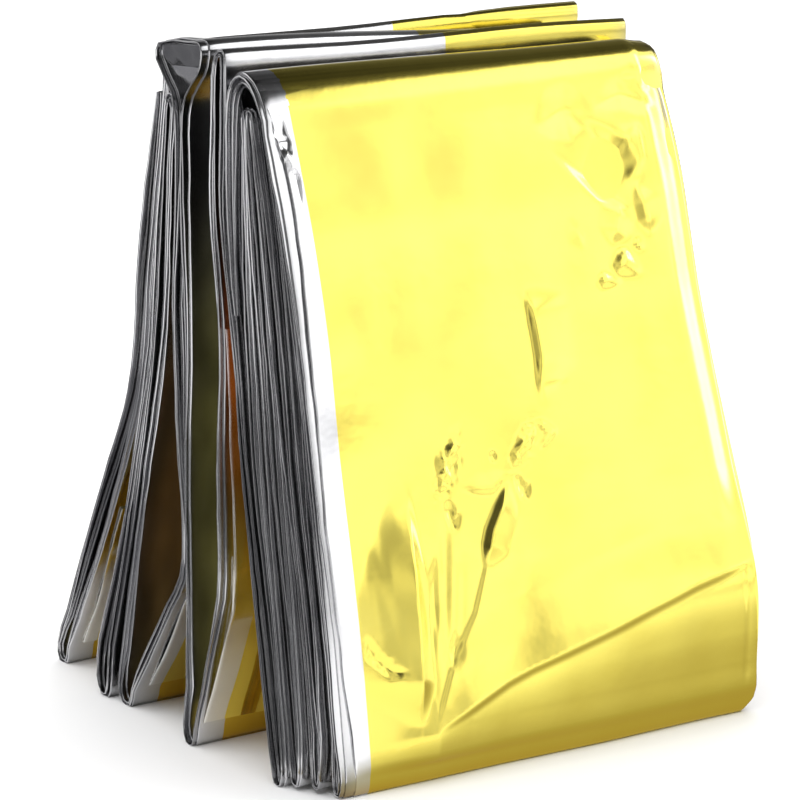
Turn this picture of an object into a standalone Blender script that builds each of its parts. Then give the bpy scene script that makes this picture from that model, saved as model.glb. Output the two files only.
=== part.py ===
"""Emergency foil blanket: a strip of folded film, folded back and forth and stood up like a fan."""
import math

import bmesh
import bpy

for old in list(bpy.data.objects):
    bpy.data.objects.remove(old, do_unlink=True)

MM = 0.001

# Frame used while building, in mm: x from the left end of the strip to its right end,
# y from the front leaf to the back, z up from the surface that it stands on.
CENTRE_X = 42.7
CENTRE_Y = 44.39
STATIONS = 13

# Thickness of one leaf of the strip, which is 16 films lying loosely on each other.
FOOT_THICK = 1.0
GAP_SHARE = 0.58

# Heights at which the leaves are measured, and the leaf's most thickness at each.
HEIGHTS = (10.0, 28.0, 56.0, 76.0, 95.0, 110.0)
MOST_THICK = (1.6, 1.7, 1.6, 1.4, 1.2, 1.0)

# Middle of each leaf at the strip's left end: its y at each of the heights, from the front leaf to the back one.
LEAVES_LEFT = {
    1: (-1.2, 1.1, 6.3, 9.7, 14.4, 19.5),
    2: (1.0, 3.7, 9.4, 12.7, 16.7, 21.5),
    3: (3.2, 6.3, 12.4, 15.6, 19.1, 23.0),
    4: (5.2, 8.9, 15.5, 18.6, 21.5, 24.5),
    5: (7.5, 11.5, 18.5, 21.5, 23.9, 26.0),
    6: (9.7, 14.1, 21.5, 24.5, 26.3, 27.5),
    7: (11.8, 16.7, 24.6, 27.4, 28.7, 29.0),
    8: (13.9, 19.2, 27.6, 30.4, 33.2, 33.0),
    9: (34.8, 31.1, 34.9, 35.4, 37.4, 36.6),
    10: (39.2, 42.0, 45.6, 45.9, 46.5, 46.2),
    11: (56.6, 45.4, 48.8, 50.0, 48.6, 48.0),
    12: (64.5, 62.4, 58.4, 55.2, 53.4, 51.6),
    13: (68.3, 65.3, 61.8, 58.5, 55.8, 53.6),
    14: (72.2, 68.3, 65.2, 61.8, 58.1, 55.6),
    15: (86.7, 78.4, 68.0, 64.6, 60.6, 57.6),
    16: (89.6, 82.5, 70.5, 67.2, 63.0, 59.6),
}

# How far each height of the front leaf has moved back at the right end. The leaves behind it in the wad
# follow it less and less, and the eighth leaf not at all.
FRONT_RIGHT = (-3.0, -4.5, -0.6, 2.8, 3.1, 3.6)

# The other leaves at the right end: how far their floor and their top have moved back.
BACK_RIGHT = {
    8: (0.0, 1.8),
    9: (-1.5, 1.6),
    10: (1.0, 0.6),
    11: (-2.0, 0.6),
    12: (-2.5, 0.2),
    13: (-1.5, 0.0),
    14: (-1.0, -0.6),
    15: (1.0, -2.0),
    16: (1.5, -2.2),
}

# Feet, from the front: the leaves they join, the y of the fold at 3.4 mm up and on the floor, front side then
# back side, the height of its underside, and the x of its two ends.
FEET = {
    1: dict(front=-1.9, flat=(-1.3, 0.2), back=0.9, under=0.0, ends=(0.3, 87.5)),
    3: dict(front=2.6, flat=(3.0, 3.9), back=4.4, under=1.0, ends=(-1.4, 86.6)),
    5: dict(front=6.1, flat=(6.5, 7.5), back=8.0, under=0.8, ends=(-2.8, 86.0)),
    7: dict(front=9.5, flat=(9.9, 11.1), back=11.7, under=0.0, ends=(-4.1, 86.8)),
    9: dict(front=35.6, flat=(36.3, 38.0), back=38.8, under=0.0, ends=(-5.6, 85.8)),
    11: dict(front=60.2, flat=(61.3, 63.6), back=64.7, under=0.0, ends=(-3.4, 86.0)),
    13: dict(front=67.4, flat=(68.3, 70.2), back=71.4, under=0.0, ends=(-3.8, 86.0)),
    15: dict(front=89.1, flat=(90.0, 91.9), back=92.5, under=0.0, ends=(-0.2, 87.6)),
}

# The leaves' ends step out below this height.
STEP_OUT_HEIGHT = 62.0

# Ridges: the leaves they join, the top at the left and right ends, and the x of the two ends.
RIDGES = {
    2: dict(top=(112.6, 112.0), ends=(1.6, 86.4)),
    4: dict(top=(113.6, 113.4), ends=(0.8, 85.6)),
    6: dict(top=(113.2, 112.8), ends=(1.2, 86.8)),
    8: dict(top=(122.6, 121.2), ends=(0.0, 87.2)),
    10: dict(top=(123.8, 119.6), ends=(0.4, 86.0)),
    12: dict(top=(112.8, 112.6), ends=(1.8, 86.6)),
    14: dict(top=(121.0, 122.0), ends=(3.4, 90.6)),
}
ARCH = dict(top=(119.9, 118.6), ends=(0.0, 87.5))
BACK_END = dict(top=(112.0, 114.0), ends=(4.0, 91.0))

# The front leaf's arch over the wad: y and z from the front leaf to its loose end, left end and right end.
ARCH_LEFT = ((21.3, 114.6), (23.9, 118.2), (27.2, 119.4), (30.0, 117.8), (31.2, 114.0), (31.3, 106.0), (31.0, 97.0))
ARCH_RIGHT = ((24.6, 114.4), (26.2, 117.0), (29.0, 118.1), (31.8, 116.8), (33.0, 113.6), (33.1, 106.0), (32.4, 97.0))

# The box-shaped ridge behind it: from the leaf in front, up and forward, over its flat top and down behind.
BOX_LEFT = ((44.7, 113.6), (41.0, 117.8), (39.4, 121.2), (40.6, 123.2), (52.9, 121.5), (53.6, 119.0), (49.0, 113.6))
BOX_RIGHT = ((45.9, 112.6), (43.6, 115.4), (42.4, 118.0), (43.3, 119.0), (48.2, 118.4), (49.4, 116.8), (48.8, 113.0))

# Main creases raised on the front leaf: from and to as (share of the width, height), how wide, how proud.
FRONT_CREASES = (
    dict(start=(0.17, 14.0), end=(0.36, 52.0), wide=7.0, proud=0.9),
    dict(start=(0.17, 12.0), end=(1.00, 30.0), wide=7.0, proud=0.8),
    dict(start=(0.62, 66.0), end=(0.70, 100.0), wide=9.0, proud=-0.4),
)


def mix(a, b, t):
    return a + (b - a) * t


def ease(t):
    t = min(1.0, max(0.0, t))
    return t * t * (3.0 - 2.0 * t)


def at_height(values, z):
    """A value measured at HEIGHTS, read at another height on a smooth line."""
    if z <= HEIGHTS[0]:
        return values[0]
    if z >= HEIGHTS[-1]:
        return values[-1]
    for i in range(len(HEIGHTS) - 1):
        low, high = HEIGHTS[i], HEIGHTS[i + 1]
        if z <= high:
            break
    t = (z - low) / (high - low)
    before = values[max(i - 1, 0)]
    after = values[min(i + 2, len(values) - 1)]
    slope_low = (values[i + 1] - before) / (high - HEIGHTS[max(i - 1, 0)])
    slope_high = (after - values[i]) / (HEIGHTS[min(i + 2, len(HEIGHTS) - 1)] - low)
    span = high - low
    return (
        values[i] * (1 + 2 * t) * (1 - t) ** 2
        + values[i + 1] * t * t * (3 - 2 * t)
        + slope_low * span * t * (1 - t) ** 2
        - slope_high * span * t * t * (1 - t)
    )


def leaf_values(leaf, u):
    """The leaf's y at each of HEIGHTS at a share u of the strip's width."""
    values = []
    for k, z in enumerate(HEIGHTS):
        up = z / HEIGHTS[-1]
        if leaf <= 8:
            follow = (8 - leaf) / 7.0
            floor, top = BACK_RIGHT[8]
            moved = FRONT_RIGHT[k] * follow + mix(floor, top, up) * (1 - follow)
        else:
            floor, top = BACK_RIGHT[leaf]
            moved = mix(floor, top, up)
            moved += 0.35 * math.sin(math.pi * 2.0 * u + leaf) * math.sin(math.pi * up)
        values.append(LEAVES_LEFT[leaf][k] + moved * ease(u))
    return values


def thickness(leaf, k, u):
    """A leaf is as thick as its neighbours leave room for."""
    here = leaf_values(leaf, u)[k]
    room = 9.0
    for other in (leaf - 1, leaf + 1):
        if other in LEAVES_LEFT:
            room = min(room, abs(leaf_values(other, u)[k] - here))
    return min(MOST_THICK[k], max(0.7, room * GAP_SHARE))


def crease(u, z):
    """How far the front leaf stands proud of its even shape, in mm."""
    proud = 0.0
    for c in FRONT_CREASES:
        ax, az = c["start"][0] * 87.5, c["start"][1]
        bx, bz = c["end"][0] * 87.5, c["end"][1]
        px, pz = u * 87.5, z
        run = (bx - ax) ** 2 + (bz - az) ** 2
        t = min(1.0, max(0.0, ((px - ax) * (bx - ax) + (pz - az) * (bz - az)) / run))
        away = math.hypot(px - mix(ax, bx, t), pz - mix(az, bz, t))
        proud += c["proud"] * ease(1.0 - away / c["wide"])
    return proud


def leaf_points(leaf, u):
    """Points up one leaf: y, z, thickness."""
    values = leaf_values(leaf, u)
    thick = [thickness(leaf, k, u) for k in range(len(HEIGHTS))]
    if leaf == 1:
        heights = (10.0, 16.0, 22.0, 28.0, 35.0, 42.0, 49.0, 56.0, 66.0, 76.0, 86.0, 95.0, 103.0, 110.0)
    elif leaf in (9, 11):
        heights = (10.0, 16.0, 22.0, 28.0, 42.0, 56.0, 76.0, 95.0, 110.0)
    else:
        heights = (10.0, 19.0, 28.0, 42.0, 56.0, 76.0, 95.0, 110.0)
    points = []
    for z in heights:
        y = at_height(values, z)
        if leaf in (9, 11) and z < 28.0:
            y = mix(values[0], values[1], (z - 10.0) / 18.0)
        if leaf == 1:
            y -= crease(u, z)
        points.append((y, z, at_height(thick, z)))
    return points


def foot_points(front_leaf, u):
    f = FEET[front_leaf]
    low_front = leaf_values(front_leaf, u)[0] - LEAVES_LEFT[front_leaf][0]
    low_back = leaf_values(front_leaf + 1, u)[0] - LEAVES_LEFT[front_leaf + 1][0]
    middle = (low_front + low_back) / 2
    z = f["under"] + FOOT_THICK / 2
    return [
        (f["front"] + low_front, f["under"] + 3.4, FOOT_THICK),
        (f["flat"][0] + middle, z, FOOT_THICK),
        (f["flat"][1] + middle, z, FOOT_THICK),
        (f["back"] + low_back, f["under"] + 3.4, FOOT_THICK),
    ]


def ridge_points(front_leaf, u):
    r = RIDGES[front_leaf]
    if front_leaf == 10:
        return [(mix(a[0], b[0], ease(u)), mix(a[1], b[1], ease(u)), 1.0) for a, b in zip(BOX_LEFT, BOX_RIGHT)]
    front = leaf_values(front_leaf, u)
    back = leaf_values(front_leaf + 1, u)
    top = mix(r["top"][0], r["top"][1], u)
    top += 0.25 * math.sin(2.6 * math.pi * u + front_leaf)
    thick = min(1.0, thickness(front_leaf, 5, u))
    climb = max(0.0, top - 110.0)
    lean_front = (front[5] - front[4]) / 15.0 * climb * 0.5
    lean_back = (back[5] - back[4]) / 15.0 * climb * 0.5
    middle = (front[5] + lean_front + back[5] + lean_back) / 2
    half = max(0.5, (back[5] - front[5]) * 0.28)
    points = []
    if climb > 6.0:
        points.append((front[5] + lean_front, 110.0 + climb * 0.6, thick))
    points.append((middle - half, top - thick / 2, thick))
    points.append((middle + half, top - thick / 2, thick))
    if climb > 6.0:
        points.append((back[5] + lean_back, 110.0 + climb * 0.6, thick))
    return points


def end_points(u):
    values = leaf_values(16, u)
    return [(values[5] - 0.2, mix(BACK_END["top"][0], BACK_END["top"][1], u), 1.0)]


def arch_points(u):
    t = ease(u)
    return [(mix(a[0], b[0], t), mix(a[1], b[1], t), 1.0) for a, b in zip(ARCH_LEFT, ARCH_RIGHT)]


def ends_at(fold, table):
    return table[fold]["ends"]


def section(u):
    """The whole back-and-forth line at one share of the width: x, y, z, thickness."""
    line = []
    above = BACK_END["ends"]
    for leaf in range(16, 0, -1):
        down = leaf % 2 == 0
        foot = FEET[leaf - 1 if down else leaf]["ends"]
        points = leaf_points(leaf, u)
        if down:
            if leaf == 16:
                for y, z, t in end_points(u):
                    line.append((mix(above[0], above[1], u), y, z, t))
            points = points[::-1]
        else:
            above = RIDGES[leaf - 1]["ends"] if leaf > 1 else ARCH["ends"]
        for y, z, t in points:
            up = min(1.0, z / STEP_OUT_HEIGHT)
            left, right = mix(foot[0], above[0], up), mix(foot[1], above[1], up)
            line.append((mix(left, right, u), y, z, t))
        if down:
            for y, z, t in foot_points(leaf - 1, u)[::-1]:
                line.append((mix(foot[0], foot[1], u), y, z, t))
        else:
            turn = ridge_points(leaf - 1, u)[::-1] if leaf > 1 else arch_points(u)
            for y, z, t in turn:
                line.append((mix(above[0], above[1], u), y, z, t))
    return line


def offset(line, side):
    """The line moved sideways by half its thickness, with mitred corners."""
    out = []
    for i, (x, y, z, t) in enumerate(line):
        before = line[max(i - 1, 0)]
        after = line[min(i + 1, len(line) - 1)]
        a = (y - before[1], z - before[2])
        b = (after[1] - y, after[2] - z)
        if i == 0:
            a = b
        if i == len(line) - 1:
            b = a
        la, lb = math.hypot(*a), math.hypot(*b)
        na = (-a[1] / la, a[0] / la)
        nb = (-b[1] / lb, b[0] / lb)
        along = 1.0 + na[0] * nb[0] + na[1] * nb[1]
        scale = side * t / 2 / max(along, 0.55)
        out.append((x, y + (na[0] + nb[0]) * scale, z + (na[1] + nb[1]) * scale))
    return out


def build():
    bm = bmesh.new()
    grid = []
    for s in range(STATIONS):
        line = section(s / (STATIONS - 1))
        row = []
        for side in (1.0, -1.0):
            for x, y, z in offset(line, side):
                z = max(z, 0.0)
                row.append(bm.verts.new(((x - CENTRE_X) * MM, (y - CENTRE_Y) * MM, z * MM)))
        grid.append(row)
    n = len(grid[0]) // 2
    for s in range(STATIONS - 1):
        here, there = grid[s], grid[s + 1]
        for i in range(n - 1):
            bm.faces.new((here[i], here[i + 1], there[i + 1], there[i]))
            bm.faces.new((here[n + i], there[n + i], there[n + i + 1], here[n + i + 1]))
        bm.faces.new((here[0], there[0], there[n], here[n]))
        bm.faces.new((here[n - 1], here[2 * n - 1], there[2 * n - 1], there[n - 1]))
    for row in (grid[0], grid[-1]):
        for i in range(n - 1):
            bm.faces.new((row[i], row[i + 1], row[n + i + 1], row[n + i]))
    bmesh.ops.recalc_face_normals(bm, faces=bm.faces[:])
    bmesh.ops.triangulate(bm, faces=bm.faces[:], quad_method="BEAUTY")
    if bm.calc_volume(signed=True) < 0:
        bmesh.ops.reverse_faces(bm, faces=bm.faces[:])
    mesh = bpy.data.meshes.new("foil_blanket")
    bm.to_mesh(mesh)
    bm.free()
    return mesh


def film_material():
    material = bpy.data.materials.new("gold_silver_film")
    material.use_nodes = True
    shader = material.node_tree.nodes["Principled BSDF"]
    shader.inputs["Base Color"].default_value = (0.91, 0.74, 0.22, 1.0)
    shader.inputs["Metallic"].default_value = 1.0
    shader.inputs["Roughness"].default_value = 0.12
    return material


blanket = bpy.data.objects.new("foil_blanket", build())
blanket.data.materials.append(film_material())
group = bpy.data.collections.new("emergency_foil_blanket")
bpy.context.scene.collection.children.link(group)
group.objects.link(blanket)
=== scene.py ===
"""Emergency foil blanket: the folded strip of gold and silver film that stands like a fan, in a pale studio."""
import math

import bpy
import numpy as np
from mathutils import Matrix, Vector


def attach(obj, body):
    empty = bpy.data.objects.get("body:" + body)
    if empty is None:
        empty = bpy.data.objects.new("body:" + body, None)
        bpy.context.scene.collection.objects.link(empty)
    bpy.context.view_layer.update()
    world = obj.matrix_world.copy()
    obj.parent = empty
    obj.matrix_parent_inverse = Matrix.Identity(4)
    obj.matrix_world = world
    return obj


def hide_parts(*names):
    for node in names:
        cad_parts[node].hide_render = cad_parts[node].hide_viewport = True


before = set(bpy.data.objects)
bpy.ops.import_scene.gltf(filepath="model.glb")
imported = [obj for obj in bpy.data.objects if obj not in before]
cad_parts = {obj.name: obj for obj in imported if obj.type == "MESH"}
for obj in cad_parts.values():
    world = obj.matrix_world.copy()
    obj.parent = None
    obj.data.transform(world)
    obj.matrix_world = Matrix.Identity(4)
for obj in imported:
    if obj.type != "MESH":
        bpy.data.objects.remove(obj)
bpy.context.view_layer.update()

MM = 0.001
SEED = 20240

# Building frame, in mm: x from the left end of the strip, y from the front leaf to the back, z up.
CENTRE_X = 42.7
CENTRE_Y = 44.39
STRIP_WIDTH = 87.5

# Leaves of the strip: heights at which they are measured, and the most thickness of one leaf at each.
HEIGHTS = (10.0, 28.0, 56.0, 76.0, 95.0, 110.0)
MOST_THICK = (1.6, 1.7, 1.6, 1.4, 1.2, 1.0)
FOOT_THICK = 1.0
GAP_SHARE = 0.58
STEP_OUT_HEIGHT = 62.0

# Middle of each leaf at the left end: its y at each of the heights, from the front leaf to the back one.
LEAVES_LEFT = {
    1: (-1.2, 1.1, 6.3, 9.7, 14.4, 19.5),
    2: (1.0, 3.7, 9.4, 12.7, 16.7, 21.5),
    3: (3.2, 6.3, 12.4, 15.6, 19.1, 23.0),
    4: (5.2, 8.9, 15.5, 18.6, 21.5, 24.5),
    5: (7.5, 11.5, 18.5, 21.5, 23.9, 26.0),
    6: (9.7, 14.1, 21.5, 24.5, 26.3, 27.5),
    7: (11.8, 16.7, 24.6, 27.4, 28.7, 29.0),
    8: (13.9, 19.2, 27.6, 30.4, 33.2, 33.0),
    9: (34.8, 31.1, 34.9, 35.4, 37.4, 36.6),
    10: (39.2, 42.0, 45.6, 45.9, 46.5, 46.2),
    11: (56.6, 45.4, 48.8, 50.0, 48.6, 48.0),
    12: (64.5, 62.4, 58.4, 55.2, 53.4, 51.6),
    13: (68.3, 65.3, 61.8, 58.5, 55.8, 53.6),
    14: (72.2, 68.3, 65.2, 61.8, 58.1, 55.6),
    15: (86.7, 78.4, 68.0, 64.6, 60.6, 57.6),
    16: (89.6, 82.5, 70.5, 67.2, 63.0, 59.6),
}

# How far the front leaf has moved back at the right end, by height, and the other leaves' floor and top.
FRONT_RIGHT = (-3.0, -4.5, -0.6, 2.8, 3.1, 3.6)
BACK_RIGHT = {
    8: (0.0, 1.8),
    9: (-1.5, 1.6),
    10: (1.0, 0.6),
    11: (-2.0, 0.6),
    12: (-2.5, 0.2),
    13: (-1.5, 0.0),
    14: (-1.0, -0.6),
    15: (1.0, -2.0),
    16: (1.5, -2.2),
}

# Feet: y of the fold 3.4 mm up and on the floor, front then back, height of its underside, x of its two ends.
FEET = {
    1: dict(front=-1.9, flat=(-1.3, 0.2), back=0.9, under=0.0, ends=(0.3, 87.5)),
    3: dict(front=2.6, flat=(3.0, 3.9), back=4.4, under=1.0, ends=(-1.4, 86.6)),
    5: dict(front=6.1, flat=(6.5, 7.5), back=8.0, under=0.8, ends=(-2.8, 86.0)),
    7: dict(front=9.5, flat=(9.9, 11.1), back=11.7, under=0.0, ends=(-4.1, 86.8)),
    9: dict(front=35.6, flat=(36.3, 38.0), back=38.8, under=0.0, ends=(-5.6, 85.8)),
    11: dict(front=60.2, flat=(61.3, 63.6), back=64.7, under=0.0, ends=(-3.4, 86.0)),
    13: dict(front=67.4, flat=(68.3, 70.2), back=71.4, under=0.0, ends=(-3.8, 86.0)),
    15: dict(front=89.1, flat=(90.0, 91.9), back=92.5, under=0.0, ends=(-0.2, 87.6)),
}

# Ridges: the top at the left and right ends, and the x of the two ends.
RIDGES = {
    2: dict(top=(112.6, 112.0), ends=(1.6, 86.4)),
    4: dict(top=(113.6, 113.4), ends=(0.8, 85.6)),
    6: dict(top=(113.2, 112.8), ends=(1.2, 86.8)),
    8: dict(top=(122.6, 121.2), ends=(0.0, 87.2)),
    10: dict(top=(123.8, 119.6), ends=(0.4, 86.0)),
    12: dict(top=(112.8, 112.6), ends=(1.8, 86.6)),
    14: dict(top=(121.0, 122.0), ends=(3.4, 90.6)),
}
ARCH_ENDS = (0.0, 87.5)
BACK_END = dict(top=(112.0, 114.0), ends=(4.0, 91.0))

# The front leaf's arch over the wad, and the box-shaped ridge behind it: y and z, left end and right end.
ARCH_LEFT = (
    (21.3, 114.6), (23.9, 118.2), (27.2, 119.4), (30.0, 117.8), (31.2, 114.0), (31.3, 106.0), (31.0, 97.0),
    (30.2, 88.0), (28.9, 78.0),
)
ARCH_RIGHT = (
    (24.6, 114.4), (26.2, 117.0), (29.0, 118.1), (31.8, 116.8), (33.0, 113.6), (33.1, 106.0), (32.4, 97.0),
    (31.7, 88.0), (30.5, 78.0),
)
BOX_LEFT = (
    (44.7, 113.6), (41.0, 117.8), (39.5, 120.8), (39.5, 122.6), (40.2, 123.0), (43.0, 122.7),
    (52.9, 121.5), (53.6, 119.0), (49.0, 113.6),
)
BOX_RIGHT = (
    (45.9, 112.6), (43.8, 115.4), (42.6, 117.4), (42.5, 118.6), (43.2, 119.0), (44.4, 118.8),
    (48.2, 118.4), (49.4, 116.8), (48.8, 113.0),
)
ARCH_THICK = (1.6, 2.1, 2.1, 2.0, 1.6, 1.2, 0.9, 0.6, 0.3)

# Where the gold begins, in mm across the strip: on the front's side of the film, and on the other side.
GOLD_FROM_FRONT = 5.2
GOLD_FROM_BACK = 46.6

# The front film's left edge stands back from the strip's end: height and x in mm.
FRONT_EDGE = (
    (0.0, 2.6), (4.2, 2.5), (19.0, 1.5), (41.0, 1.0), (82.0, 1.9),
    (106.0, 2.5), (109.4, 1.8), (115.0, 0.8), (120.0, 0.6))

# The lower crease of the front film: mm across, mm up. Above it the film leans back, below it stands upright.
LOWER_CREASE = (
    (0.0, 8.0), (17.0, 9.2), (24.7, 12.7), (32.7, 15.6), (45.3, 18.8),
    (58.0, 22.1), (73.3, 25.9), (87.5, 28.3))

# Creases on the front film, given one by one: points as (mm across, mm up), width on the two sides of the line
# (left of its direction, right of it), how proud of the film (minus is a trough), and how much each end tapers.
CREASES = (
    # the sharp edge from the tip of the lower crease up to the middle
    dict(points=((17.0, 9.2), (18.3, 12.6), (21.3, 18.2), (25.4, 23.9), (28.2, 27.6),
                 (31.4, 34.8), (32.6, 39.0), (34.8, 42.9), (38.0, 47.5)),
         wide=(0.5, 10.0), proud=0.17, taper=(0.25, 1.0)),
    # the lower crease itself
    dict(points=((17.0, 9.0), (32.7, 15.4), (38.0, 17.0), (58.0, 21.9), (73.3, 25.7), (87.5, 28.1)),
         wide=(12.0, 1.3), proud=0.66, taper=(0.3, 0.3)),
    # the right-hand border of the dull patch
    dict(points=((13.6, 10.5), (14.8, 22.0), (16.0, 36.0), (17.0, 50.0)),
         wide=(11.5, 3.6), proud=1.7, taper=(0.45, 1.0)),
    dict(points=((19.5, 24.0), (20.5, 34.0), (21.8, 40.0)), wide=(1.5, 1.8), proud=-0.25, taper=(1.0, 1.0)),
    dict(points=((22.0, 18.5), (23.6, 25.5)), wide=(1.6, 2.4), proud=-0.3, taper=(1.0, 1.0)),
    # the long dark sliver in the middle of the face
    dict(points=((47.4, 79.6), (48.6, 75.6), (48.8, 71.8), (48.8, 68.0), (47.9, 63.6), (48.1, 59.6)),
         wide=(9.0, 1.4), proud=0.72, taper=(0.6, 1.0)),
    # the dark hollow right of the flutes
    dict(points=((38.3, 48.6), (36.0, 44.6), (33.4, 40.8), (31.2, 35.2)),
         wide=(4.5, 1.5), proud=0.75, taper=(0.8, 0.55)),
    # the two crumpled places over the flutes
    dict(points=((30.3, 57.4), (25.6, 53.6), (25.0, 48.9)), wide=(2.6, 1.8), proud=0.5, taper=(0.8, 0.6)),
    dict(points=((25.2, 47.6), (26.0, 43.0), (27.8, 44.6)), wide=(1.4, 1.4), proud=-0.4, taper=(0.8, 0.8)),
    dict(points=((45.4, 57.9), (41.8, 53.5), (39.8, 50.2)), wide=(2.4, 2.2), proud=0.5, taper=(0.8, 0.6)),
    dict(points=((45.4, 57.9), (49.0, 55.2), (45.2, 52.6)), wide=(1.0, 1.2), proud=0.3, taper=(0.6, 0.8)),
    dict(points=((39.8, 50.0), (41.4, 45.6), (42.6, 48.4)), wide=(1.0, 1.0), proud=-0.4, taper=(0.8, 0.8)),
    dict(points=((28.4, 48.6), (34.6, 47.8), (38.6, 50.2)), wide=(3.0, 1.2), proud=0.22, taper=(0.8, 0.8)),
    dict(points=((35.0, 52.6), (36.6, 53.4)), wide=(1.0, 1.2), proud=-0.3, taper=(1.0, 1.0)),
    # the dent near the right edge: a small raised triangle, two shadows under it and three dark spots
    dict(points=((79.0, 104.6), (75.0, 100.0), (72.0, 96.6)), wide=(3.0, 4.0), proud=0.3, taper=(0.9, 0.9)),
    dict(points=((76.0, 102.6), (71.0, 97.0), (67.4, 92.0)), wide=(6.4, 13.0), proud=-1.05, taper=(0.7, 0.5)),
    dict(points=((79.2, 104.9), (78.6, 99.0), (75.0, 95.0)), wide=(1.6, 3.0), proud=0.22, taper=(0.5, 0.5)),
    dict(points=((69.0, 84.5), (70.2, 88.0), (72.0, 91.4)), wide=(4.0, 4.5), proud=0.42, taper=(0.9, 0.7)),
    dict(points=((77.6, 85.0), (77.2, 90.0), (76.2, 94.5)), wide=(2.8, 4.5), proud=0.52, taper=(0.9, 0.9)),
    dict(points=((72.2, 83.8), (70.0, 81.4), (69.0, 79.2)), wide=(5.5, 2.1), proud=0.62, taper=(0.8, 0.8)),
    dict(points=((66.0, 80.4), (65.4, 77.4)), wide=(4.5, 1.5), proud=0.46, taper=(1.0, 1.0)),
    dict(points=((75.2, 85.0), (73.6, 83.6)), wide=(2.2, 1.2), proud=0.3, taper=(1.0, 1.0)),
    dict(points=((60.4, 90.8), (62.6, 84.6)), wide=(1.2, 3.0), proud=0.16, taper=(1.0, 1.0)),
    # soft dents under the top right corner, and the tucked corner itself
    dict(points=((70.0, 108.0), (77.0, 109.8), (85.0, 106.8)),
         wide=(3.4, 2.8), proud=-0.32, taper=(1.0, 0.7)),
    dict(points=((56.0, 106.0), (64.0, 108.6), (70.0, 107.0)),
         wide=(5.0, 6.0), proud=-0.45, taper=(1.0, 1.0)),
    dict(points=((77.0, 113.4), (81.0, 112.0), (84.6, 109.4)),
         wide=(2.6, 2.4), proud=-0.22, taper=(0.8, 0.5)),
    # the speckled little crumple beside the silver edge
    dict(points=((5.0, 27.6), (6.2, 23.6), (9.0, 20.6), (12.6, 20.0)),
         wide=(1.3, 1.7), proud=-0.45, taper=(0.7, 0.9)),
    # the crumpled corner at the top left
    dict(points=((0.1, 110.6), (1.3, 108.8), (2.4, 109.6)), wide=(1.8, 1.2), proud=-0.8, taper=(0.2, 0.7)),
    dict(points=((0.1, 107.2), (1.2, 106.2), (1.9, 103.0)), wide=(1.4, 1.5), proud=0.65, taper=(0.2, 0.9)),
    dict(points=((1.9, 113.6), (1.3, 109.0), (1.6, 105.0), (1.4, 97.0)),
         wide=(0.8, 0.9), proud=-0.4, taper=(0.4, 0.9)),
    # the doubled line beside the right edge, below the crease
    dict(points=((85.4, 27.6), (85.2, 5.0)), wide=(0.8, 0.8), proud=-0.2, taper=(0.2, 0.3)),
)

# Films that hang loose on the front of a leaf: the leaf, the share of its thickness, then by height its
# left edge and how far it hangs forward, in mm.
LOOSE_FILMS = (
    (9, 0.66, ((0.0, 1.0), (28.0, 0.4), (76.0, 0.3)), (
        (0.0, 0.0), (4.0, 0.15), (8.0, 0.5), (12.0, 0.95), (16.0, 1.4), (20.0, 1.8), (24.0, 2.1), (28.0, 2.3),
        (36.0, 2.5), (45.0, 2.5), (60.0, 1.9), (76.0, 0.4),
    )),
    (9, 0.66, ((0.0, 2.6), (28.0, 1.6), (40.0, 1.6)),
     ((0.0, 0.0), (4.0, 0.2), (12.0, 0.25), (28.0, 0.3), (36.0, 0.1))),
    (11, 0.66, ((0.0, 2.6), (12.0, 2.0), (28.0, 1.2)), ((0.0, 0.0), (4.0, 0.2), (12.0, 0.35), (26.0, 0.3))),
    (15, 0.66, ((0.0, 2.0), (12.0, 2.4), (28.0, 1.4)), ((0.0, 0.0), (4.0, 0.2), (12.0, 0.3), (34.0, 0.3))),
)

# Colour of the light between the leaves, by the leaf that shows it and the height in mm.
GLEAM = {
    9: (
        (0.0, (0.05, 0.03, 0.002)), (14.0, (0.10, 0.075, 0.008)), (34.0, (0.13, 0.09, 0.010)),
        (48.0, (0.09, 0.035, 0.004)), (70.0, (0.13, 0.028, 0.003)), (88.0, (0.07, 0.018, 0.003)),
        (102.0, (0.006, 0.005, 0.004)),
    ),
    10: ((0.0, (0.036, 0.033, 0.010)), (60.0, (0.034, 0.032, 0.010)),
         (84.0, (0.018, 0.017, 0.010)), (100.0, (0.008, 0.008, 0.008))),
    12: ((0.0, (0.012, 0.009, 0.003)), (50.0, (0.026, 0.012, 0.003)),
         (80.0, (0.010, 0.008, 0.005)), (100.0, (0.006, 0.006, 0.006))),
    15: ((0.0, (0.030, 0.026, 0.008)), (40.0, (0.030, 0.024, 0.006)), (70.0, (0.006, 0.005, 0.003))),
}

# Windows in which the film is crumpled finely: centre and half sizes (mm across, mm up), turn in degrees,
# height in mm.
CRUMPLES = (
    dict(at=(26.6, 52.6), half=(2.4, 6.8), turn=-28.0, high=0.45),
    dict(at=(42.4, 53.6), half=(2.4, 6.2), turn=-36.0, high=0.45),
    dict(at=(7.6, 22.6), half=(1.5, 5.4), turn=48.0, high=0.26),
    dict(at=(1.0, 107.6), half=(1.7, 6.5), turn=0.0, high=0.16),
    dict(at=(72.6, 96.4), half=(1.6, 1.6), turn=0.0, high=0.14),
)


def mix(a, b, t):
    return a + (b - a) * t


def ease(t):
    t = np.clip(t, 0.0, 1.0)
    return t * t * (3.0 - 2.0 * t)


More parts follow.
